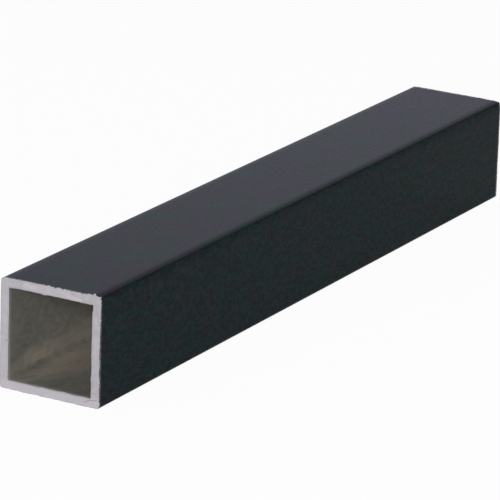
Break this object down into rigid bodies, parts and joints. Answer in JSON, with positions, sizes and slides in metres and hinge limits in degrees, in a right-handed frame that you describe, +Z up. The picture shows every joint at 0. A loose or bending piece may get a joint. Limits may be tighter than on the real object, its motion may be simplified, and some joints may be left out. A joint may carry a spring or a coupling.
{
  "type": "foundation sleeve",
  "caption": "Sawn length of square aluminium tube, coated black outside and bare in the bore, that is set in a foundation to take a square post.",
  "frame": {"origin": "middle of the underside, where the tube lies on the ground", "axes": "+Y along the tube, from the sawn end that the picture shows to the hidden one; +X across it, +Z up"},
  "size_m": [0.05, 0.375, 0.05],
  "materials": {
    "coated_aluminium": "satin"
  },
  "bodies": {
    "root": {"square_tube": "coated_aluminium"}
  },
  "joints": []
}
